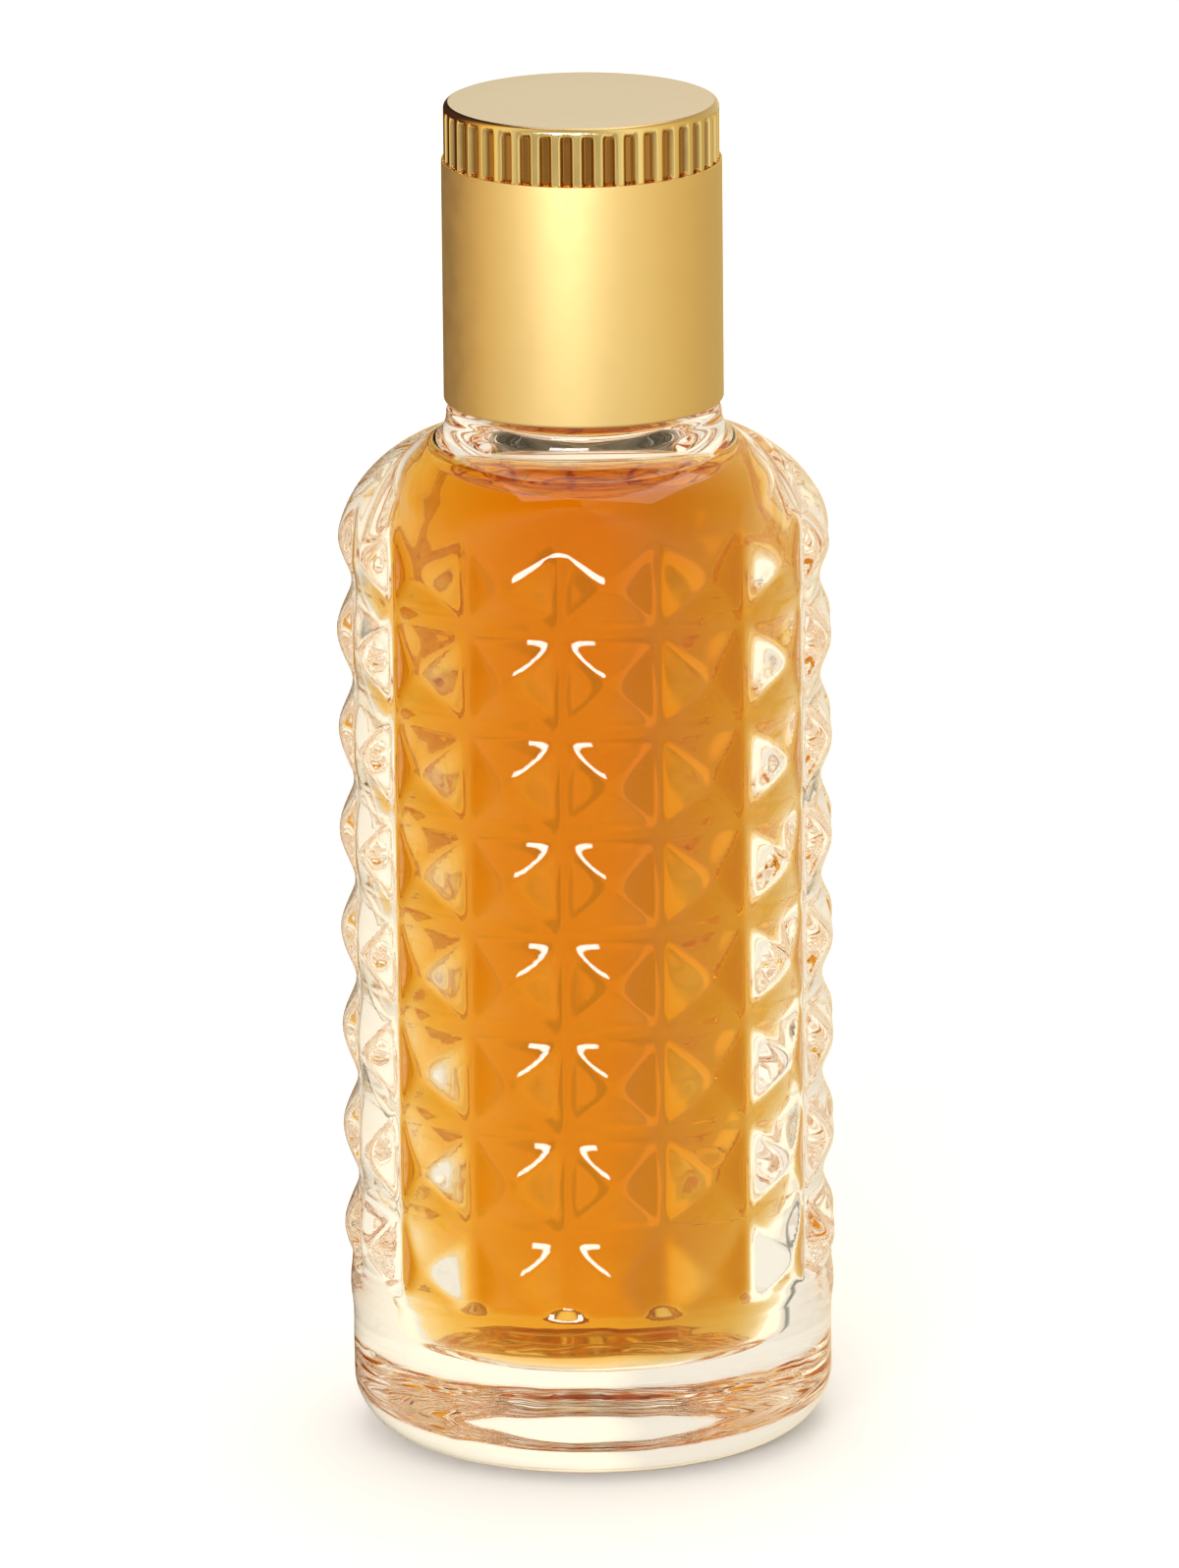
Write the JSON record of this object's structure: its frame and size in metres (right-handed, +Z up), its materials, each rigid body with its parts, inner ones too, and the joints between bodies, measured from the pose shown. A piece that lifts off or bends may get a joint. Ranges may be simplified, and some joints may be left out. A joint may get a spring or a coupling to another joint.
{
  "type": "perfume bottle",
  "caption": "Small round splash perfume bottle in thick studded glass with a ribbed gold screw cap and a pour plug.",
  "frame": {"origin": "middle of the base, on the surface the bottle stands on", "axes": "+Z up the axis of the bottle and cap; -Y is the groove between two columns of studs that faces the viewer"},
  "size_m": [0.0236, 0.0235, 0.0645],
  "materials": {
    "clear_glass": "clear, fire polished",
    "amber_perfume": "clear amber liquid",
    "natural_plastic": "milky, semi-matt",
    "gold_metal": "gold anodised, satin",
    "cap_plastic": "moulded, semi-matt",
    "liner_foam": "fine foam"
  },
  "bodies": {
    "bottle": {"bottle_glass": "clear_glass", "perfume": "amber_perfume", "pour_plug": "natural_plastic"},
    "seal": {"cap_liner": "liner_foam"},
    "cap": {"cap_shell": "gold_metal", "cap_insert": "cap_plastic"}
  },
  "joints": [
    {"name": "cap_rise", "type": "slide", "parent": "bottle", "child": "seal", "axis": [0, 0, 1], "range_m": [0, 0.0105]},
    {"name": "cap_turn", "type": "hinge", "parent": "seal", "child": "cap", "pos_m": [0, 0, 0.05], "axis": [0, 0, 1], "range_deg": [0, 1800]}
  ],
  "couplings": [
    {"joint": "cap_turn", "follows": "cap_rise", "rad_per_m": 2992}
  ]
}
